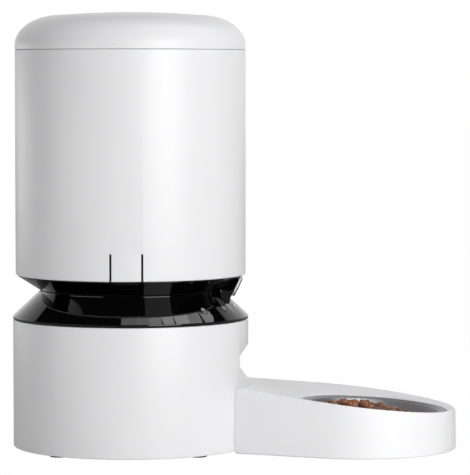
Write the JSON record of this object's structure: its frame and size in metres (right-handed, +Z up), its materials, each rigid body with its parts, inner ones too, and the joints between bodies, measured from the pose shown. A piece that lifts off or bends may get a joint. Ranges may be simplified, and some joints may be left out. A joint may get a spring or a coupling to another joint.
{
  "type": "camera pet feeder",
  "caption": "Round dry-food dispenser with lidded hopper, portioning rotor, waist camera and keys, food outlet, and a tray holding a steel bowl.",
  "frame": {"origin": "on the table under the middle of the whole object's bounding box, with the bowl tray fitted", "axes": "+X towards the bowl, which is the feeder's front, +Y towards its left side, +Z up"},
  "size_m": [0.3584, 0.19, 0.3518],
  "materials": {
    "white_abs": "satin white",
    "lining": "fine matt",
    "black_gloss": "piano black gloss",
    "black_plastic": "fine matt",
    "grey_trim": "satin",
    "rubber": "matt",
    "steel": "plain",
    "bowl_steel": "polished stainless",
    "gear_plastic": "moulded",
    "circuit_board": "solder mask",
    "battery_jacket": "printed sleeve, plain",
    "lens_glass": "coated lens",
    "light_pipe": "frosted",
    "desiccant_cloth": "non-woven cloth",
    "kibble": "dry baked food"
  },
  "bodies": {
    "base": {"base_shell": "white_abs", "control_ring": "black_gloss", "status_light": "light_pipe", "key_board": "circuit_board", "inner_frame": "black_plastic", "food_chute": "lining", "motor": "steel", "gearbox_case": "black_plastic", "gearbox_cover": "black_plastic", "gearbox_screw_right": "steel", "gearbox_screw_left": "steel", "base_plate": "black_plastic", "battery_cover": "black_plastic", "battery_cover_screw": "steel", "battery_cell_1": "battery_jacket", "battery_cell_2": "battery_jacket", "battery_cell_3": "battery_jacket", "battery_contact_right": "steel", "battery_contact_left": "steel", "foot_1": "rubber", "foot_2": "rubber", "foot_3": "rubber", "foot_4": "rubber", "base_screw_1": "steel", "base_screw_2": "steel", "base_screw_3": "steel", "base_screw_4": "steel", "speaker": "black_plastic", "main_board": "circuit_board", "power_inlet": "steel", "camera_housing": "black_gloss", "camera_bezel": "grey_trim", "camera_panel": "black_gloss", "camera_barrel": "black_plastic", "camera_lens": "lens_glass", "camera_board": "circuit_board"},
    "feed_key": {"feed_key": "black_gloss"},
    "lock_key": {"lock_key": "black_gloss"},
    "output_gear": {"output_gear": "gear_plastic"},
    "idler_gear": {"idler_gear": "gear_plastic"},
    "motor_pinion": {"motor_pinion": "steel"},
    "hopper": {"hopper_shell": "white_abs", "hopper_skirt": "black_gloss", "hopper_funnel": "lining", "portion_plate": "lining", "pocket_wiper": "rubber"},
    "rotor": {"portion_rotor": "rubber", "agitator": "lining"},
    "release_right": {"release_tab_right": "white_abs", "release_latch_right": "black_gloss"},
    "release_left": {"release_tab_left": "white_abs", "release_latch_left": "black_gloss"},
    "lid": {"lid_shell": "white_abs", "lid_liner": "lining", "lid_seal": "rubber", "desiccant_pack": "desiccant_cloth"},
    "desiccant_cover": {"desiccant_cover": "lining"},
    "tray": {"bowl_tray": "white_abs", "tray_foot": "rubber"},
    "bowl": {"feeding_bowl": "bowl_steel"}
  },
  "joints": [
    {"name": "hopper_lift", "type": "slide", "parent": "base", "child": "hopper", "axis": [0, 0, 1], "range_m": [0, 0.12]},
    {"name": "lid_lift", "type": "slide", "parent": "hopper", "child": "lid", "axis": [0, 0, 1], "range_m": [0, 0.08]},
    {"name": "desiccant_twist", "type": "hinge", "parent": "lid", "child": "desiccant_cover", "pos_m": [-0.0842, 0, 0.3084], "axis": [0, 0, 1], "range_deg": [0, 30]},
    {"name": "release_right_press", "type": "hinge", "parent": "hopper", "child": "release_right", "pos_m": [-0.0842, -0.0915, 0.1625], "axis": [1, 0, 0], "range_deg": [0, 6], "stiffness_Nm_per_rad": 0.6},
    {"name": "release_left_press", "type": "hinge", "parent": "hopper", "child": "release_left", "pos_m": [-0.0842, 0.0915, 0.1625], "axis": [-1, 0, 0], "range_deg": [0, 6], "stiffness_Nm_per_rad": 0.6},
    {"name": "rotor_spin", "type": "hinge", "parent": "hopper", "child": "rotor", "pos_m": [-0.0842, 0, 0.11], "axis": [0, 0, 1], "continuous": true},
    {"name": "output_spin", "type": "hinge", "parent": "base", "child": "output_gear", "pos_m": [-0.0842, 0, 0.09], "axis": [0, 0, 1], "continuous": true},
    {"name": "idler_spin", "type": "hinge", "parent": "base", "child": "idler_gear", "pos_m": [-0.1022, 0, 0.088], "axis": [0, 0, 1], "continuous": true},
    {"name": "motor_spin", "type": "hinge", "parent": "base", "child": "motor_pinion", "pos_m": [-0.1202, 0, 0.085], "axis": [0, 0, 1], "continuous": true},
    {"name": "feed_key_press", "type": "slide", "parent": "base", "child": "feed_key", "axis": [-0.4841, 0.5013, -0.7172], "range_m": [0, 0.0008], "stiffness_N_per_m": 500},
    {"name": "lock_key_press", "type": "slide", "parent": "base", "child": "lock_key", "axis": [-0.6124, 0.3325, -0.7172], "range_m": [0, 0.0008], "stiffness_N_per_m": 500},
    {"name": "tray_slide", "type": "slide", "parent": "base", "child": "tray", "axis": [1, 0, 0], "range_m": [0, 0.04]},
    {"name": "bowl_lift", "type": "slide", "parent": "tray", "child": "bowl", "axis": [0.0663, 0, 0.9978], "range_m": [0, 0.06]}
  ],
  "couplings": [
    {"joint": "output_spin", "follows": "rotor_spin", "ratio": 1},
    {"joint": "idler_spin", "follows": "rotor_spin", "ratio": -2},
    {"joint": "motor_spin", "follows": "rotor_spin", "ratio": 6}
  ]
}
